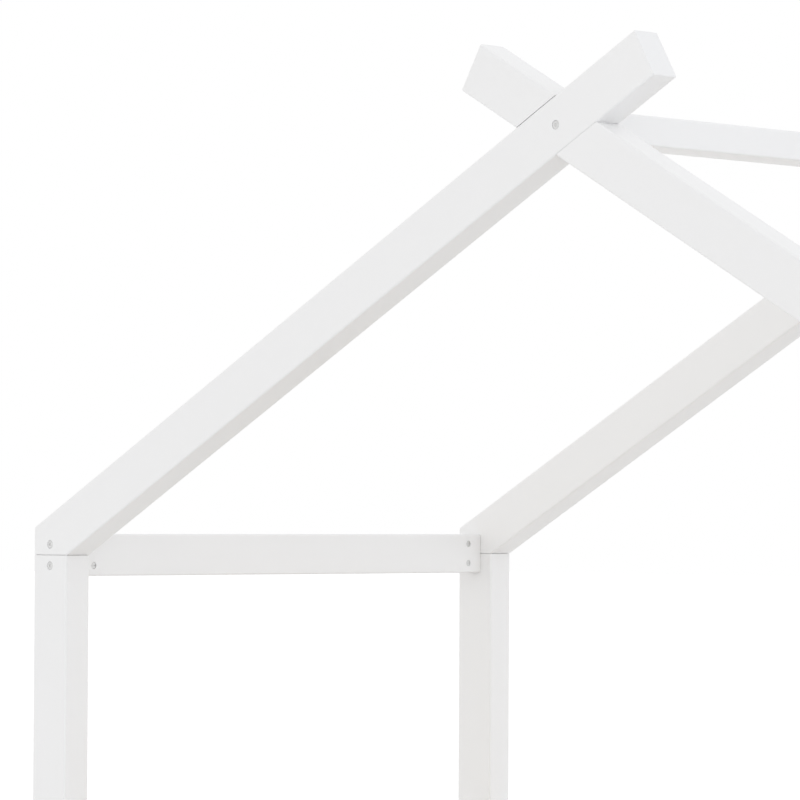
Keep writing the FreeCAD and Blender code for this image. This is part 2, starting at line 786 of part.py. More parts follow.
side_z = bed_rail_middle - bed_bolt_offset
bolt = make_bolt("side_rail_bolt", through_width)
place(bolt, seat_x, -rail_y, side_z, facing(ACROSS, ALONG))
make_group("side_rail_bolts", bolt, [MIDDLE_X, MIDDLE_Y])
nut = make_barrel_nut("side_rail_barrel_nut")
place(nut, nut_x, -rail_y + nut_thread_depth, side_z, facing(ALONG, ACROSS))
make_group("side_rail_barrel_nuts", nut, [MIDDLE_X, MIDDLE_Y])

# Dowels: two under each rafter foot, and two at each end of the ridge beam.
dowel = make_dowel("foot_dowel", foot_dowel_depth * 2 - dowel_end_gap * 2)
place(dowel, -rail_x - foot_dowel_spacing / 2, -rail_y, post_height, turn(0))
make_group("foot_dowels", dowel, [(ALONG, -rail_x), MIDDLE_X, MIDDLE_Y])

dowel = make_dowel("ridge_dowel", ridge_dowel_depth * 2 - dowel_end_gap * 2)
seam_y = -half_width + post_depth
place(dowel, -(ridge_dowel_spacing / 2), seam_y, crossing_height, facing(ALONG, ACROSS))
make_group("ridge_dowels", dowel, [MIDDLE_X, MIDDLE_Y])

# ---------------------------------------------------------------- checks and export

document.recompute()
failed = [
    item.Label
    for item in document.Objects
    if {"Invalid", "Error"} & set(item.State)
]
if failed:
    raise RuntimeError(f"these objects failed: {failed}")
for part in parts:
    if part.Shape.isNull() or not part.Shape.isValid():
        raise RuntimeError(f"{part.Label} has no valid shape")

os.makedirs("parts", exist_ok=True)
for part in parts:
    part.Shape.exportStep(os.path.join("parts", f"{part.Label}.step"))
    print(f"{part.Label}: {len(part.Shape.Solids)} solid(s), {part.Shape.Volume / 1000:.1f} cm3")
print(f"{len(parts)} nodes")
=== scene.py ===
# %% [markdown]
# # Dressing a white house frame bed
#
# The bed's construction is already a CAD model: posts, crossing rafters, rails, slats and
# fasteners, each a piece of its own. This lesson keeps that frame where it is, gives every
# piece its finish, swaps the plain fasteners for finer ones, and sets up the photograph.

# %% Load the frame
import math

import bmesh
import bpy
from mathutils import Matrix, Vector


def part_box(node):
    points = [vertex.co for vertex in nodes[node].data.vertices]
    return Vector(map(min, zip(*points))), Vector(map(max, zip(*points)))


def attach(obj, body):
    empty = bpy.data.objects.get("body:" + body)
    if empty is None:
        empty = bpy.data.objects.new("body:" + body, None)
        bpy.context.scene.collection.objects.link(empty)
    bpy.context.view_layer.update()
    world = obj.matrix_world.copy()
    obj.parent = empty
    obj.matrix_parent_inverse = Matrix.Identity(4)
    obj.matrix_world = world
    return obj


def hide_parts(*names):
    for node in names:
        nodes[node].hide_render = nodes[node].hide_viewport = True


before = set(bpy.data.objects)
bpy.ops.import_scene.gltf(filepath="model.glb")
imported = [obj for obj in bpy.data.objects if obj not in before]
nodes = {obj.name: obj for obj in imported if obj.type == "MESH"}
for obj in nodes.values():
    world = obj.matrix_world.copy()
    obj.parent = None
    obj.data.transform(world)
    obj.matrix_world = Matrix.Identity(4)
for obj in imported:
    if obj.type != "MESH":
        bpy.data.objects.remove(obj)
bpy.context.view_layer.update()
MM = 0.001

# %% [markdown]
# ## Helpers for shader nodes
#
# A procedural material is a small network of nodes. Wiring it by hand takes three lines a
# node, so one helper makes a node, sets its options, and fills each input with either a
# value or a link from an earlier node.

# %% Make and wire a node
def add(tree, kind, inputs=None, **options):
    """A shader node with its options set and its inputs filled or linked."""
    made = tree.nodes.new(f"ShaderNode{kind}")
    for option, value in options.items():
        setattr(made, option, value)
    for socket, value in (inputs or {}).items():
        if isinstance(value, bpy.types.NodeSocket):
            tree.links.new(value, made.inputs[socket])
        else:
            made.inputs[socket].default_value = value
    return made


def maths(tree, operation, first, second):
    """The result of one arithmetic step on two values or sockets."""
    return add(tree, "Math", {0: first, 1: second}, operation=operation).outputs[0]


def blend(tree, amount, low, high, blend_type="MIX"):
    """A colour mix; its amount and both colours may be linked. Inputs 6 and 7 and output 2
    are the mix node's colour sockets."""
    inputs = {0: amount, 6: low, 7: high}
    return add(tree, "Mix", inputs, data_type="RGBA", blend_type=blend_type).outputs[2]


def between(tree, value, low, high, to_low=0.0, to_high=1.0):
    """Rescales a value from one range to another, held at both ends."""
    inputs = {"Value": value, "From Min": low, "From Max": high}
    inputs |= {"To Min": to_low, "To Max": to_high}
    return add(tree, "MapRange", inputs).outputs["Result"]


print("node helpers ready")

# %% [markdown]
# An effect that several materials share is built once as a node group with named inputs.
# The group only works out colours, masks and heights. The shader itself stays in each
# material, where the exporter can read it.

# %% Make a node group
def new_group(name, inputs, outputs):
    """An empty shader group with its sockets, and its input and output nodes."""
    group = bpy.data.node_groups.new(name, "ShaderNodeTree")
    for label, kind, value in inputs:
        socket = group.interface.new_socket(label, in_out="INPUT", socket_type=kind)
        socket.default_value = value
    for label, kind in outputs:
        group.interface.new_socket(label, in_out="OUTPUT", socket_type=kind)
    start = group.nodes.new("NodeGroupInput")
    end = group.nodes.new("NodeGroupOutput")
    return group, start.outputs, end.inputs


def use_group(tree, group, inputs):
    """The outputs of a group placed in a tree, with its own values and links."""
    return add(tree, "Group", inputs, node_tree=group).outputs


VECTOR, COLOUR, NUMBER = "NodeSocketVector", "NodeSocketColor", "NodeSocketFloat"
print("group helpers ready")

# %% [markdown]
# ## Lines that follow the timber
#
# Every stick of wood is sawn along its grain. All pieces share one frame, so each material
# first turns the coordinates until X runs along its own stick. A group then squeezes the
# space along X, so that noise in it comes out as long fibres. A second noise, about eight
# times coarser, gives broad bands.

# %% Fibres along the stick
BAND_FINENESS = 0.12

fibres, given, result = new_group(
    "wood_fibres",
    [
        ("Place", VECTOR, (0.0, 0.0, 0.0)),
        ("Fineness", NUMBER, 260.0),
        ("Stretch", NUMBER, 30.0),
    ],
    [("Fibres", NUMBER), ("Broad", NUMBER)],
)
split = add(fibres, "SeparateXYZ", {0: given["Place"]})
along = maths(fibres, "DIVIDE", split.outputs["X"], given["Stretch"])
squeezed = add(
    fibres, "CombineXYZ", {"X": along, "Y": split.outputs["Y"], "Z": split.outputs["Z"]}
)
fine = add(
    fibres,
    "TexNoise",
    {"Vector": squeezed.outputs[0], "Scale": given["Fineness"], "Detail": 3.0},
)
broad_scale = maths(fibres, "MULTIPLY", given["Fineness"], BAND_FINENESS)
broad = add(
    fibres,
    "TexNoise",
    {"Vector": squeezed.outputs[0], "Scale": broad_scale, "Detail": 2.0, "Distortion": 0.4},
)
fibres.links.new(fine.outputs["Fac"], result["Fibres"])
fibres.links.new(broad.outputs["Fac"], result["Broad"])
print("wood_fibres:", len(fibres.nodes), "nodes")

# %% [markdown]
# ## White lacquer
#
# The bed is sprayed in a satin white lacquer over sanded softwood. The film hides the
# wood's colour, but it is thin: long fibres still lift it by a few hundredths of a
# millimetre, and the spray dries with a faint orange peel. Where the timber is cut across,
# the open grain drinks the lacquer, so that the end is duller. Its tone is darker too,
# partly from the soaked-in lacquer and partly as painted shade, which dims the light on the
# upturned rafter ends and the highlight on their bevels. The group puts out a tone, a gloss
# and a height that vary in these ways.

# %% The lacquer film
# How much darker a cut end is: partly lacquer soaked into the open grain, partly painted shade.
END_SOAK_AND_SHADE, END_GRAIN_DULL = 0.03, 0.12
CLOUD_SCALE, PEEL_SCALE = 5.0, 420.0
FIBRE_SHARE, PEEL_SHARE = 0.6, 0.4
GLOSS_DRIFT = 0.08

film, given, result = new_group(
    "lacquer_film",
    [
        ("Place", VECTOR, (0.0, 0.0, 0.0)),
        ("White", COLOUR, (0.886, 0.883, 0.879, 1.0)),
        ("Gloss", NUMBER, 0.36),
        ("Unevenness", NUMBER, 0.012),
        ("Cut End", NUMBER, 0.0),
    ],
    [("Colour", COLOUR), ("Roughness", NUMBER), ("Height", NUMBER)],
)
wood = use_group(film, fibres, {"Place": given["Place"], "Fineness": 240.0, "Stretch": 35.0})
cloud = add(film, "TexNoise", {"Vector": given["Place"], "Scale": CLOUD_SCALE, "Detail": 2.0})
peel = add(film, "TexNoise", {"Vector": given["Place"], "Scale": PEEL_SCALE, "Detail": 1.0})
uneven = maths(film, "MULTIPLY", given["Unevenness"], 2.0)
drift = maths(film, "MULTIPLY", maths(film, "SUBTRACT", cloud.outputs["Fac"], 0.5), uneven)
# Soaked-in lacquer and painted shade together darken the cut ends.
soak_and_shade = maths(film, "MULTIPLY", given["Cut End"], END_SOAK_AND_SHADE)
tone = maths(film, "SUBTRACT", maths(film, "ADD", drift, 1.0), soak_and_shade)
shade = add(film, "CombineColor", {"Red": tone, "Green": tone, "Blue": tone})
colour = blend(film, 1.0, given["White"], shade.outputs[0], "MULTIPLY")
film.links.new(colour, result["Colour"])
band = maths(film, "SUBTRACT", wood["Broad"], 0.5)
gloss_change = maths(film, "MULTIPLY", band, GLOSS_DRIFT)
dulled = maths(film, "MULTIPLY", given["Cut End"], END_GRAIN_DULL)
gloss = maths(film, "ADD", given["Gloss"], maths(film, "ADD", gloss_change, dulled))
film.links.new(gloss, result["Roughness"])
raised = maths(film, "MULTIPLY", wood["Fibres"], FIBRE_SHARE)
pitted = maths(film, "MULTIPLY", peel.outputs["Fac"], PEEL_SHARE)
film.links.new(maths(film, "ADD", raised, pitted), result["Height"])
print("lacquer_film:", len(film.nodes), "nodes")

# %% [markdown]
# One lacquer serves every white piece. Only the way that the grain runs differs, so a
# function makes the same material once for each direction of timber. A face that looks
# along the grain, to within about 50 degrees, is a cut end. One that looks more than about
# 72 degrees away from it isn't, and between the two the change is gradual.

# %% Lacquer for each direction of timber
ROOF_PITCH = math.radians(29.5)
QUARTER = math.pi / 2
# The cut-end range is wide enough for the bevels around each end to count fully, so the painted
# shade on the ends also dims the highlight on their bevels.
NO_CUT, FULL_CUT = 0.3, 0.65
LACQUER_IOR = 1.46
FILM_RELIEF = 0.05 * MM


def new_material(name):
    """A material with its shader, and object coordinates to place textures by."""
    material = bpy.data.materials.new(name)
    material.use_nodes = True
    tree = material.node_tree
    shader = tree.nodes["Principled BSDF"]
    place = add(tree, "TexCoord").outputs["Object"]
    return material, tree, shader, place


def along_grain(tree, place, turn):
    """The coordinates turned so that X follows the timber."""
    return add(tree, "Mapping", {"Vector": place, "Rotation": turn}).outputs[0]


def set_bump(tree, shader, height, depth, strength):
    """Tilts the shader's normal by a height. The depth is what a height of 1 is in metres."""
    inputs = {"Height": height, "Distance": depth, "Strength": strength}
    bump = add(tree, "Bump", inputs)
    tree.links.new(bump.outputs[0], shader.inputs["Normal"])


def make_lacquer(name, turn):
    """White lacquer on timber that the turn brings to lie along X."""
    material, tree, shader, place = new_material(name)
    facing = along_grain(tree, add(tree, "TexCoord").outputs["Normal"], turn)
    lengthwise = add(tree, "SeparateXYZ", {0: facing}).outputs["X"]
    cut_end = between(tree, maths(tree, "ABSOLUTE", lengthwise, 0.0), NO_CUT, FULL_CUT)
    inputs = {"Place": along_grain(tree, place, turn), "Cut End": cut_end}
    coat = use_group(tree, film, inputs)
    tree.links.new(coat["Colour"], shader.inputs["Base Color"])
    tree.links.new(coat["Roughness"], shader.inputs["Roughness"])
    shader.inputs["IOR"].default_value = LACQUER_IOR
    set_bump(tree, shader, coat["Height"], FILM_RELIEF, strength=0.5)
    return material


lacquers = {
    "upright": make_lacquer("white_lacquer_upright", (0.0, QUARTER, 0.0)),
    "long": make_lacquer("white_lacquer_long", (0.0, 0.0, 0.0)),
    "cross": make_lacquer("white_lacquer_cross", (0.0, 0.0, QUARTER)),
    "rising": make_lacquer("white_lacquer_rising", (0.0, ROOF_PITCH, 0.0)),
    "falling": make_lacquer("white_lacquer_falling", (0.0, -ROOF_PITCH, 0.0)),
}
print(len(lacquers), "lacquers")

# %% [markdown]
# The left rafter climbs towards +X and the right one towards -X, at both gables. A piece
# keeps its own mesh. Only the material in its slot changes.

# %% Give each white piece its lacquer
TIMBER = {
    "upright": [f"post_{end}_{side}" for end in ("front", "rear") for side in ("left", "right")],
    "long": ["side_rail_front", "side_rail_rear", "slat_ledger_front", "slat_ledger_rear"],
    "cross": [
        f"{rail}_{side}" for rail in ("eaves_rail", "end_rail") for side in ("left", "right")
    ]
    + ["ridge_beam"],
    "rising": ["rafter_front_left", "rafter_rear_left"],
    "falling": ["rafter_front_right", "rafter_rear_right"],
}
for direction, names in TIMBER.items():
    for name in names:
        nodes[name].material_slots[0].material = lacquers[direction]
print(sum(map(len, TIMBER.values())), "white pieces")

# %% [markdown]
# ## Bare pine slats
#
# The slats are plain planed pine: pale early wood, darker and redder late wood in long lines,
# and a few brown knots. The texture is placed by the frame's own coordinates, so that no two
# slats look alike. The knots come first, because they push the lines aside. A cell texture
# gives them, with cells about 110 mm long and 70 mm wide, and only the rare cell counts as a
# knot. The knot's core, rim and reach are shares of such a cell.

# %% Knots
KNOT_CELLS, KNOT_RARITY = (9.0, 14.0, 1.0), 0.91
KNOT_CORE, KNOT_RIM, KNOT_REACH = 0.05, 0.10, 0.45
KNOT_PUSH = 16 * MM

pine, tree, shader, place = new_material("bare_pine")
board = along_grain(tree, place, (0.0, 0.0, QUARTER))
knot_space = add(tree, "Mapping", {"Vector": board, "Scale": KNOT_CELLS}).outputs[0]
cells = add(
    tree,
    "TexVoronoi",
    {"Vector": knot_space, "Scale": 1.0, "Randomness": 0.9},
    voronoi_dimensions="2D",
)
rarity = add(tree, "SeparateColor", {0: cells.outputs["Color"]}).outputs["Red"]
is_knot = maths(tree, "GREATER_THAN", rarity, KNOT_RARITY)
core = between(tree, cells.outputs["Distance"], KNOT_RIM, KNOT_CORE)
knot = maths(tree, "MULTIPLY", core, is_knot)
swirl = between(tree, cells.outputs["Distance"], KNOT_REACH, KNOT_CORE, 0.0, KNOT_PUSH)
push = add(tree, "CombineXYZ", {"Y": maths(tree, "MULTIPLY", swirl, is_knot)}).outputs[0]
pushed = add(tree, "VectorMath", {0: board, 1: push}, operation="ADD").outputs[0]
print("knots in", round((1 - KNOT_RARITY) * 100), "of 100 cells")

# %% [markdown]
# A year's wood starts pale, darkens slowly and ends sharply. A saw-tooth wave across the
# board has just that shape, raised to a power so that the dark part is narrow, and slow
# distortion lets the lines wander along the board. The broad bands of the fibre group make
# them stronger here and weaker there, and its fine fibres add pores.

# %% Lines of late wood
PINE_PALE = (0.87, 0.785, 0.65, 1.0)
PINE_LATE = (0.70, 0.55, 0.365, 1.0)
PINE_KNOT = (0.27, 0.13, 0.06, 1.0)
LINE_SCALE, LINE_STRETCH, LINE_WANDER = 34.0, 0.3, 18.0
LINE_SHARPNESS, LINE_SHARE, FAINTEST_LINE = 2.2, 0.7, 0.35
FAINT_BAND, STRONG_BAND = 0.25, 0.6
PORE_START, PORE_FULL, PORE_SHARE = 0.42, 0.72, 0.25
PINE_DULL, PINE_SHINY = 0.62, 0.5
PLANED_RELIEF = 0.12 * MM

grain = use_group(tree, fibres, {"Place": pushed, "Fineness": 330.0, "Stretch": 60.0})
stretch = (LINE_STRETCH, 1.0, 1.0)
line_space = add(tree, "Mapping", {"Vector": pushed, "Scale": stretch}).outputs[0]
wave = {"Vector": line_space, "Scale": LINE_SCALE, "Distortion": LINE_WANDER}
wave |= {"Detail": 2.0, "Detail Scale": 0.15}
years = add(tree, "TexWave", wave, bands_direction="Y", wave_profile="SAW")
line = maths(tree, "POWER", years.outputs["Fac"], LINE_SHARPNESS)
strength = between(tree, grain["Broad"], FAINT_BAND, STRONG_BAND, FAINTEST_LINE, 1.0)
line = maths(tree, "MULTIPLY", maths(tree, "MULTIPLY", line, strength), LINE_SHARE)
pores = between(tree, grain["Fibres"], PORE_START, PORE_FULL, 0.0, PORE_SHARE)
late = maths(tree, "ADD", line, pores)
surface = blend(tree, knot, blend(tree, late, PINE_PALE, PINE_LATE), PINE_KNOT)
tree.links.new(surface, shader.inputs["Base Color"])
dullness = between(tree, late, 0.0, 1.0, PINE_DULL, PINE_SHINY)
tree.links.new(dullness, shader.inputs["Roughness"])
set_bump(tree, shader, grain["Fibres"], PLANED_RELIEF, strength=0.6)
print(pine.name, "has", len(tree.nodes), "nodes")

# %% Give each slat its pine
slats = sorted(name for name in nodes if name.startswith("slat_") and name[-2:].isdigit())
for name in slats:
    nodes[name].material_slots[0].material = pine
print(len(slats), "slats in", pine.name)

# %% [markdown]
# Dowels are turned beech: paler, pinker and much finer in the grain, with short flecks.
# They hide in the seams, and still get their own finish for anyone who takes the bed apart.

# %% Beech
BEECH_PALE, BEECH_FLECK = (0.60, 0.39, 0.25, 1.0), (0.42, 0.24, 0.13, 1.0)
FLECK_START, FLECK_FULL, FLECK_SHARE = 0.5, 0.7, 0.6
BEECH_SMOOTH, BEECH_ROUGH = 0.5, 0.62

beech, tree, shader, place = new_material("beech")
flecks = use_group(tree, fibres, {"Place": place, "Fineness": 900.0, "Stretch": 6.0})
fleck = between(tree, flecks["Fibres"], FLECK_START, FLECK_FULL, 0.0, FLECK_SHARE)
surface = blend(tree, fleck, BEECH_PALE, BEECH_FLECK)
tree.links.new(surface, shader.inputs["Base Color"])
dullness = between(tree, fleck, 0.0, 1.0, BEECH_SMOOTH, BEECH_ROUGH)
tree.links.new(dullness, shader.inputs["Roughness"])
for name in ("foot_dowels", "ridge_dowels"):
    nodes[name].material_slots[0].material = beech
print("dowels in", beech.name)

# %% [markdown]
# ## Zinc-plated steel
#
# Knock-down fasteners are zinc plated: a light grey metal, half glossy, with a faint
# crystal pattern and a roughness that changes from patch to patch. Full metallic with a
# roughness between 0.3 and 0.5 gives that, and a group shares the patches between the
# bolts, the barrel nuts and the screws, each with its own size of crystal.

# %% Plating
FACET_SHARE, HAZE_SCALE = 0.4, 260.0
PATCH_LOW, PATCH_HIGH = 0.4, 1.1
ZINC_CLEAR, ZINC_HAZY = 0.3, 0.46
ZINC_RELIEF = 0.02 * MM

plating, given, result = new_group(
    "plating",
    [
        ("Place", VECTOR, (0.0, 0.0, 0.0)),
        ("Bright", COLOUR, (0.70, 0.70, 0.69, 1.0)),
        ("Dull", COLOUR, (0.56, 0.56, 0.57, 1.0)),
        ("Crystals", NUMBER, 900.0),
    ],
    [("Colour", COLOUR), ("Roughness", NUMBER), ("Height", NUMBER)],
)
spangle = add(
    plating, "TexVoronoi", {"Vector": given["Place"], "Scale": given["Crystals"]}
)
facet = add(plating, "SeparateColor", {0: spangle.outputs["Color"]}).outputs["Red"]
haze = add(plating, "TexNoise", {"Vector": given["Place"], "Scale": HAZE_SCALE, "Detail": 3.0})
facet = maths(plating, "MULTIPLY", facet, FACET_SHARE)
patch = maths(plating, "ADD", facet, haze.outputs["Fac"])
patch = between(plating, patch, PATCH_LOW, PATCH_HIGH)
dullness = between(plating, patch, 0.0, 1.0, ZINC_CLEAR, ZINC_HAZY)
plating.links.new(blend(plating, patch, given["Bright"], given["Dull"]), result["Colour"])
plating.links.new(dullness, result["Roughness"])
plating.links.new(patch, result["Height"])
print("plating:", len(plating.nodes), "nodes")

# %% [markdown]
# The nuts are the brightest and have the coarsest crystals. The screws come from another
# bath: a little darker, yellower and finer.

# %% Bolts, nuts and screws in zinc
def make_steel(name, bright, dull, crystals):
    """Zinc plating between two greys, with that many crystals to the metre."""
    material, tree, shader, place = new_material(name)
    inputs = {"Place": place, "Bright": bright, "Dull": dull, "Crystals": crystals}
    zinc = use_group(tree, plating, inputs)
    tree.links.new(zinc["Colour"], shader.inputs["Base Color"])
    tree.links.new(zinc["Roughness"], shader.inputs["Roughness"])
    shader.inputs["Metallic"].default_value = 1.0
    set_bump(tree, shader, zinc["Height"], ZINC_RELIEF, strength=0.5)
    return material


bolt_steel = make_steel("bolt_zinc", (0.74, 0.74, 0.73, 1.0), (0.62, 0.62, 0.62, 1.0), 900.0)
nut_steel = make_steel("nut_zinc", (0.76, 0.76, 0.75, 1.0), (0.63, 0.63, 0.63, 1.0), 700.0)
screw_steel = make_steel("screw_zinc", (0.70, 0.68, 0.62, 1.0), (0.55, 0.53, 0.48, 1.0), 1200.0)
print("three finishes of plated steel")

# %% [markdown]
# ## Turned shapes
#
# A bolt, a nut and a screw are all turned on a lathe: rings of points, one after another
# along an axis, joined by quads. A hexagon socket is such a ring too, with its radius
# following six flats in place of a circle. The local axis points into the wood, and depth
# 0 is the outer end. Sizes are in millimetres, as on a maker's drawing.

# %% A lathe
SEGMENTS = 48


def ring_radius(radius, flats, angle):
    """A circle's radius, or that of a polygon whose flats touch the circle."""
    if not flats:
        return radius
    step = math.tau / flats
    return radius / math.cos((angle + step / 2) % step - step / 2)


def turned(profile):
    """Points and faces of a closed turned shape. The profile lists radius, depth and number
    of flats, ring by ring from the outer end to the inner one."""
    points = [(0.0, 0.0, profile[0][1] * MM)]
    faces = []
    for radius, depth, flats in profile:
        for step in range(SEGMENTS):
            angle = math.tau * step / SEGMENTS
            reach = ring_radius(radius, flats, angle) * MM
            points.append((reach * math.cos(angle), reach * math.sin(angle), depth * MM))
    points.append((0.0, 0.0, profile[-1][1] * MM))

    def ring(number, step):
        """The index of a point on one of the rings."""
        return 1 + number * SEGMENTS + step % SEGMENTS

    last = len(profile) - 1
    for step in range(SEGMENTS):
        faces.append((0, ring(0, step + 1), ring(0, step)))
        faces.append((len(points) - 1, ring(last, step), ring(last, step + 1)))
        for number in range(last):
            here, beyond = ring(number, step), ring(number + 1, step)
            here_next, beyond_next = ring(number, step + 1), ring(number + 1, step + 1)
            faces.append((here, here_next, beyond_next, beyond))
    return points, faces


def new_mesh(name, points, faces):
    """A mesh made from points and faces."""
    mesh = bpy.data.meshes.new(name)
    mesh.from_pydata(points, [], faces)
    return mesh


def new_object(name, mesh):
    """An object that shows a mesh in the scene."""
    made = bpy.data.objects.new(name, mesh)
    bpy.context.scene.collection.objects.link(made)
    return made


print("lathe with", SEGMENTS, "segments")

# %% [markdown]
# Some shapes need a cut across the lathe's axis, such as a screwdriver slot. A Boolean
# modifier takes the cutter away exactly, and its result is kept as a plain mesh. Points
# closer than a thousandth of a millimetre are joined, so that no stray sliver is left.

# %% Cut
WELD = 0.001 * MM
# How far a cutter stands out of the face that it cuts, in millimetres.
CLEAR = 1.0


def block(low, high):
    """Points and faces of a box between two corners, in millimetres."""
    points = [
        (x * MM, y * MM, z * MM)
        for x in (low[0], high[0])
        for y in (low[1], high[1])
        for z in (low[2], high[2])
    ]
    faces = [(0, 1, 3, 2), (4, 6, 7, 5), (0, 4, 5, 1), (2, 3, 7, 6), (0, 2, 6, 4), (1, 5, 7, 3)]
    return points, faces


def carved(name, shape, cutters):
    """The mesh of a shape less its cutters, each given as points and faces."""
    base = new_object(name, new_mesh(name, *shape))
    tools = [new_object(f"{name}_cutter", new_mesh("cutter", *cutter)) for cutter in cutters]
    for tool in tools:
        cut = base.modifiers.new("cut", "BOOLEAN")
        cut.object = tool
    result = bpy.data.meshes.new_from_object(
        base.evaluated_get(bpy.context.evaluated_depsgraph_get())
    )
    for spent in [base, *tools]:
        bpy.data.objects.remove(spent)
    clean = bmesh.new()
    clean.from_mesh(result)
    bmesh.ops.remove_doubles(clean, verts=clean.verts, dist=WELD)
    bmesh.ops.dissolve_degenerate(clean, edges=clean.edges, dist=WELD)
    clean.to_mesh(result)
    clean.free()
    return result


print("cutting ready")

# %% [markdown]
# Each kind of fastener is one piece that holds many copies of one mesh. A matrix says where
# a copy's outer end is and which way it goes in. The piece rides on the bed's only body, and
# its slot tells what it is made of.

# %% Repeat
SMOOTH_ANGLE = math.radians(32)


def repeated(name, mesh, matrices, material):
    """One piece that holds a copy of the mesh at each matrix, smooth except at its edges."""
    copies = bmesh.new()
    for matrix in matrices:
        placed = mesh.copy()
        placed.transform(matrix)
        copies.from_mesh(placed)
        bpy.data.meshes.remove(placed)
    whole = bpy.data.meshes.new(name)
    copies.to_mesh(whole)
    copies.free()
    whole.shade_smooth()
    whole.set_sharp_from_angle(angle=SMOOTH_ANGLE)
    whole.materials.clear()
    whole.materials.append(material)
    piece = new_object(name, whole)
    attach(piece, "root")
    return piece


def driven(middle, direction, spin):
    """The matrix of a fastener whose outer end is at a point and which goes in that way."""
    turn = Vector(direction).to_track_quat("Z", "Y").to_matrix().to_4x4()
    return Matrix.Translation(middle) @ turn @ Matrix.Rotation(spin, 4, "Z")


print("repeating ready")

# %% [markdown]
# ## Where the fasteners are
#
# The CAD model holds each kind of fastener as one node with many solids. Joining the points
# that share a place and walking from point to point gives one box per solid. The middle of
# the box's outer or inner end is the place where a finer fastener goes in.

# %% Find each solid of a node
def solids_of(node):
    """The lowest and highest corner of each separate solid in a CAD node."""
    shape = bmesh.new()
    shape.from_mesh(nodes[node].data)
    bmesh.ops.remove_doubles(shape, verts=shape.verts, dist=WELD)
    waiting = set(shape.verts)
    boxes = []
    while waiting:
        reached = [waiting.pop()]
        for vertex in reached:
            around = {edge.other_vert(vertex) for edge in vertex.link_edges} & waiting
            waiting -= around
            reached += around
        places = [vertex.co.copy() for vertex in reached]
        low = Vector(map(min, *places))
        high = Vector(map(max, *places))
        boxes.append((low, high))
    shape.free()
    return sorted(boxes, key=lambda box: tuple(box[0]))


def ends_of(node, axis, outer):
    """For each solid: the middle of the end that shows, and the way in from there. The outer
    end is the one further from the bed's middle, and the other is the inner one."""
    found = []
    for low, high in solids_of(node):
        middle = (low + high) / 2
        side = math.copysign(1.0, middle[axis])
        face = max(low[axis], high[axis], key=lambda level: level * side)
        if not outer:
            face = low[axis] + high[axis] - face
        middle[axis] = face
        inwards = Vector((0.0, 0.0, 0.0))
        inwards[axis] = -side if outer else side
        found.append((middle, inwards))
    return found


for name in ("eaves_bolts", "eaves_barrel_nuts", "ridge_bolts"):
    print(name, len(solids_of(name)))

# %% [markdown]
# ## Bolts
#
# Each joint is pulled tight by a flat-headed bolt. Its head sits in a counterbore, level
# with the white face, and has a 4 mm hexagon socket with a drilled point at its bottom. The
# profile starts there, climbs out over the head's rounded rim and goes down the shank.

# %% Turn the bolts
HEAD_RADIUS, HEAD_THICKNESS, SHANK_RADIUS = 6.0, 4.8, 3.0
SOCKET_HALF, SOCKET_DEPTH, SOCKET_TAPER = 2.0, 1.0, 0.1
DRILL_RADIUS, DRILL_POINT = 0.3, 0.3
LEAD_WIDTH, LEAD_DEPTH = 0.5, 0.3
TIP_CHAMFER = 0.8
# The head's rounded rim: how far in from the edge each ring lies, and how deep.
RIM_RINGS = ((0.5, 0.0), (0.2, 0.1), (0.0, 0.4))


def bolt_profile(length):
    """A bolt of that length, from the bottom of its socket to its tip."""
    socket = [
        (DRILL_RADIUS, SOCKET_DEPTH + DRILL_POINT, 0),
        (SOCKET_HALF - SOCKET_TAPER, SOCKET_DEPTH, 6),
        (SOCKET_HALF, LEAD_DEPTH, 6),
        (SOCKET_HALF + LEAD_WIDTH, 0.0, 0),
    ]
    rim = [(HEAD_RADIUS - inset, depth, 0) for inset, depth in RIM_RINGS]
    shank = [
        (HEAD_RADIUS, HEAD_THICKNESS, 0),
        (SHANK_RADIUS, HEAD_THICKNESS, 0),
        (SHANK_RADIUS, length - TIP_CHAMFER, 0),
        (SHANK_RADIUS - TIP_CHAMFER, length, 0),
    ]
    return socket + rim + shank


print("bolt profile of", len(bolt_profile(1.0)), "rings")

# %% [markdown]
# The CAD bolts have the right sizes but few sides, so a turned bolt of the same length
# replaces each one. The sockets stopped at different angles when the bolts were tightened.

# %% Replace the CAD bolts
BOLT_AXES = {"eaves_bolts": 1, "end_rail_bolts": 1, "ridge_bolts": 1, "side_rail_bolts": 0}
SPIN_STEP = math.radians(23)

for name, axis in BOLT_AXES.items():
    low, high = solids_of(name)[0]
    length = (high[axis] - low[axis]) / MM
    seats = ends_of(name, axis, outer=True)
    matrices = [
        driven(place, inwards, SPIN_STEP * number)
        for number, (place, inwards) in enumerate(seats)
    ]
    mesh = new_mesh(name, *turned(bolt_profile(length)))
    piece = repeated(f"{name}_turned", mesh, matrices, bolt_steel)
    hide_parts(name)
    print(name, len(seats), "of", round(length, 1), "mm")

# %% [markdown]
# ## Barrel nuts
#
# Each bolt ends in a barrel nut let in from the rail's hidden side: a short round bar with
# a cross hole for the thread, and a screwdriver slot in its end to turn the hole into line.
# The slot lies along the bolt.

# %% Turn a barrel nut
NUT_RADIUS, NUT_RIM = 4.95, 0.4
NUT_LENGTH, NUT_CROSS = 18.0, 12.4
SLOT_HALF, SLOT_DEPTH = 0.75, 1.7
CROSS_RADIUS = 3.06


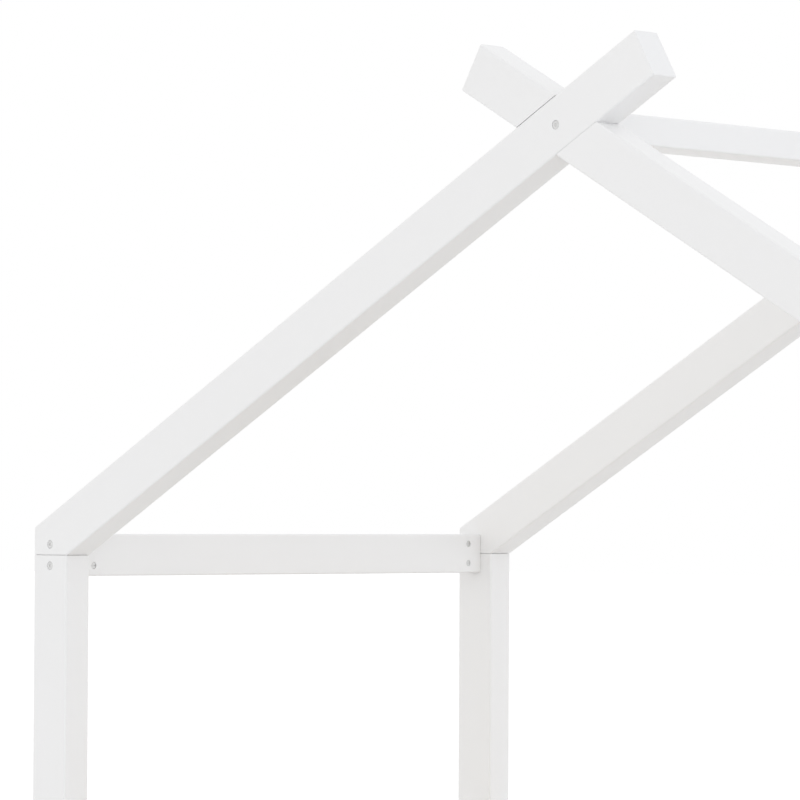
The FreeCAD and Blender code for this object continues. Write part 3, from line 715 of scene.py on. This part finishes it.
def nut_mesh(length, cross_depth):
    """A barrel nut, slotted along X, with its cross hole at a depth."""
    bar = turned([
        (NUT_RADIUS - NUT_RIM, 0.0, 0),
        (NUT_RADIUS, NUT_RIM, 0),
        (NUT_RADIUS, length - NUT_RIM, 0),
        (NUT_RADIUS - NUT_RIM, length, 0),
    ])
    reach = NUT_RADIUS * 2
    slot = block((-reach, -SLOT_HALF, -CLEAR), (reach, SLOT_HALF, SLOT_DEPTH))
    points, faces = turned([(CROSS_RADIUS, -reach, 0), (CROSS_RADIUS, reach, 0)])
    across = Matrix.Translation((0, 0, cross_depth * MM)) @ Matrix.Rotation(QUARTER, 4, "Y")
    hole = ([across @ Vector(point) for point in points], faces)
    return carved("barrel_nut", bar, [slot, hole])


nut = nut_mesh(NUT_LENGTH, NUT_CROSS)
print("nut with", len(nut.polygons), "faces")

# %% [markdown]
# At the eaves and the bed rails the nut goes in away from the bed's middle, and under the
# ridge it goes straight up. Two directions fix it: the way it goes in and the way its bolt
# runs. Their cross product is the third side of its frame.

# %% Replace the CAD nuts
# The axis that each group goes in along, and the direction of its bolts.
NUT_GROUPS = {
    "eaves_barrel_nuts": (0, Vector((0, 1, 0))),
    "end_rail_barrel_nuts": (0, Vector((0, 1, 0))),
    "side_rail_barrel_nuts": (1, Vector((1, 0, 0))),
    "ridge_barrel_nuts": (2, Vector((0, 1, 0))),
}
for name, (axis, bolt_way) in NUT_GROUPS.items():
    matrices = []
    for place, inwards in ends_of(name, axis, outer=False):
        frame_of_nut = Matrix((bolt_way, inwards.cross(bolt_way), inwards)).transposed()
        matrices.append(Matrix.Translation(place) @ frame_of_nut.to_4x4())
    piece = repeated(f"{name}_turned", nut, matrices, nut_steel)
    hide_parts(name)
    print(name, len(matrices))

# %% [markdown]
# ## Screws
#
# Each slat is held down by one countersunk screw at either end, and each ledger is held to
# its side rail by a row of them. Only the heads show: a flat crown with a sloping rim and a
# cross recess. They are too small for the CAD model, so they are turned here and sunk into
# the wood.

# %% Turn a screw head
SCREW_RADIUS, SCREW_SUNK, SCREW_PROUD = 3.8, 2.6, 0.15
CROWN_MIDDLE, CROWN_RIM, RIM_SUNK, NECK_RADIUS = 0.6, 0.4, 0.1, 1.9
CROSS_HALF, CROSS_REACH, CROSS_DEPTH = 0.45, 2.0, 1.1

head = turned([
    (CROWN_MIDDLE, -SCREW_PROUD, 0),
    (SCREW_RADIUS - CROWN_RIM, -SCREW_PROUD, 0),
    (SCREW_RADIUS, RIM_SUNK, 0),
    (NECK_RADIUS, SCREW_SUNK, 0),
])
recess = [
    block((-CROSS_REACH, -CROSS_HALF, -CLEAR), (CROSS_REACH, CROSS_HALF, CROSS_DEPTH)),
    block((-CROSS_HALF, -CROSS_REACH, -CLEAR), (CROSS_HALF, CROSS_REACH, CROSS_DEPTH)),
]
screw = carved("screw_head", head, recess)
print("screw head of", SCREW_RADIUS * 2, "mm")

# %% [markdown]
# The screws are driven where the frame's own boxes say: down through the middle of each end
# of a slat into its ledger, and from the inside through the ledgers, evenly spaced. No two
# neighbours stopped turning at the same angle.

# %% Drive the screws
LEDGER_SCREWS = 7
DOWN = Vector((0, 0, -1))

slat_screws, ledger_screws = [], []
for number, name in enumerate(slats):
    low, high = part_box(name)
    for side in ("front", "rear"):
        ledger_low, ledger_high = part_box(f"slat_ledger_{side}")
        place = ((low.x + high.x) / 2, (ledger_low.y + ledger_high.y) / 2, high.z)
        slat_screws.append(driven(place, DOWN, SPIN_STEP * (number + place[1])))
# For each ledger: which corner of its box lies on the inner face, and the way in from there.
for side, face, way in (("front", 1, -1), ("rear", 0, 1)):
    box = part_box(f"slat_ledger_{side}")
    level = (box[0].z + box[1].z) / 2
    for number in range(LEDGER_SCREWS):
        share = (number + 0.5) / LEDGER_SCREWS
        along = box[0].x + (box[1].x - box[0].x) * share
        place = (along, box[face].y, level)
        ledger_screws.append(driven(place, (0, way, 0), SPIN_STEP * number))
repeated("slat_screws", screw, slat_screws, screw_steel)
repeated("ledger_screws", screw, ledger_screws, screw_steel)
print(len(slat_screws), "slat screws,", len(ledger_screws), "ledger screws")

# %% [markdown]
# ## The room: floor, air and light
#
# The bed stands in a bright studio against pure white. The world lights it softly from
# everywhere, most from the white walls and least from overhead, with a little more from the
# front, where it is faintly warm, and from the right, where it is faintly cool. No lamp is
# needed, and no hard shadow falls, as in the photograph. What the camera and shiny metal see
# of the world is plain white, so that the background costs no extra light.

# %% World light
HORIZON_LEVEL, SKY_LEVEL = 1.17, 0.74
FRONT_GAIN, RIGHT_GAIN = 0.053, 0.2
PLAIN_WHITE = (1.0, 1.0, 1.0, 1.0)
FRONT_TINT = (1.012, 1.0, 0.98, 1.0)
RIGHT_TINT = (0.98, 1.0, 1.04, 1.0)

world = bpy.data.worlds.new("studio")
bpy.context.scene.world = world
world.use_nodes = True
tree = world.node_tree
tree.nodes.clear()
direction = add(tree, "TexCoord").outputs["Generated"]
way = add(tree, "SeparateXYZ", {0: direction}).outputs
level = between(tree, way["Z"], 0.0, 1.0, HORIZON_LEVEL, SKY_LEVEL)
front = between(tree, way["Y"], 0.0, -1.0, 0.0, FRONT_GAIN)
right = between(tree, way["X"], 0.0, 1.0, 0.0, RIGHT_GAIN)
level = maths(tree, "ADD", level, maths(tree, "ADD", front, right))
tint = blend(tree, between(tree, way["Y"], 0.0, -1.0), PLAIN_WHITE, FRONT_TINT)
tint = blend(tree, between(tree, way["X"], 0.0, 1.0), tint, RIGHT_TINT)
light = add(tree, "Background", {"Color": tint, "Strength": level})
white = add(tree, "Background", {"Color": PLAIN_WHITE, "Strength": 1.0})
path = add(tree, "LightPath").outputs
seen = maths(tree, "MAXIMUM", path["Is Camera Ray"], path["Is Glossy Ray"])
seen = maths(tree, "MAXIMUM", seen, path["Is Transmission Ray"])
mixed = add(tree, "MixShader", {0: seen, 1: light.outputs[0], 2: white.outputs[0]})
add(tree, "OutputWorld", {"Surface": mixed.outputs[0]})
print("world level", HORIZON_LEVEL, "at the horizon,", SKY_LEVEL, "overhead")

# %% [markdown]
# The floor is a wide pale sheet. It reflects light up to the undersides as a real floor
# does. For the camera it also glows just enough to reach white where nothing shades it, so
# that only the bed's soft shadow shows on it. The sheet is a trace blue, which makes up for
# the warm light from the pine, and the glow is a trace warm, so that both together are a
# plain white.

# %% Floor
FLOOR_REACH = 40.0
FLOOR_WHITE = (0.868, 0.874, 0.886, 1.0)
FLOOR_SMOOTH, FLOOR_ROUGH, GRIT_SCALE = 0.85, 0.95, 30.0
FLOOR_LIFT, LIFT_TINT = 0.26, (1.04, 1.013, 0.963, 1.0)

bpy.ops.mesh.primitive_plane_add(size=FLOOR_REACH * 2)
floor = bpy.context.object
floor.name = "studio_floor"
material, tree, shader, place = new_material("pale_floor")
grit = add(tree, "TexNoise", {"Vector": place, "Scale": GRIT_SCALE, "Detail": 2.0})
shader.inputs["Base Color"].default_value = FLOOR_WHITE
shader.inputs["Specular IOR Level"].default_value = 0.0
matt = between(tree, grit.outputs["Fac"], 0.0, 1.0, FLOOR_SMOOTH, FLOOR_ROUGH)
tree.links.new(matt, shader.inputs["Roughness"])
path = add(tree, "LightPath").outputs
seen = maths(tree, "MAXIMUM", path["Is Camera Ray"], path["Is Glossy Ray"])
glow_strength = maths(tree, "MULTIPLY", seen, FLOOR_LIFT)
glow = add(tree, "Emission", {"Color": LIFT_TINT, "Strength": glow_strength})
both = add(tree, "AddShader", {0: shader.outputs[0], 1: glow.outputs[0]})
tree.links.new(both.outputs[0], tree.nodes["Material Output"].inputs["Surface"])
floor.data.materials.append(material)
print("floor", FLOOR_REACH * 2, "m wide")

# %% [markdown]
# ## Camera
#
# The photograph was taken from the front right, at about the height of the eaves, through
# a long lens: upright lines stay upright and the far gable is hardly smaller than the near
# one. Place, turn and lens were fitted to the straight edges of the posts, rafters and rails.

# %% Place the camera
CAMERA_PLACE = Vector((4.0239, -5.0662, 0.7687))
CAMERA_TURN, CAMERA_TILT, CAMERA_ROLL = 0.75678, 0.02558, 0.00521
LENS, SENSOR = 201.73, 36.0
FARTHEST_SEEN = 200.0

camera_data = bpy.data.cameras.new("camera")
camera_data.lens = LENS
camera_data.sensor_width = SENSOR
camera_data.clip_end = FARTHEST_SEEN
camera = bpy.data.objects.new("camera", camera_data)
camera.matrix_world = (
    Matrix.Translation(CAMERA_PLACE)
    @ Matrix.Rotation(CAMERA_TURN, 4, "Z")
    @ Matrix.Rotation(QUARTER + CAMERA_TILT, 4, "X")
    @ Matrix.Rotation(CAMERA_ROLL, 4, "Z")
)
bpy.context.scene.collection.objects.link(camera)
bpy.context.scene.camera = camera
bpy.context.scene.view_settings.view_transform = "Standard"
print("camera", round(CAMERA_PLACE.length, 2), "m from the middle of the bed's footprint")
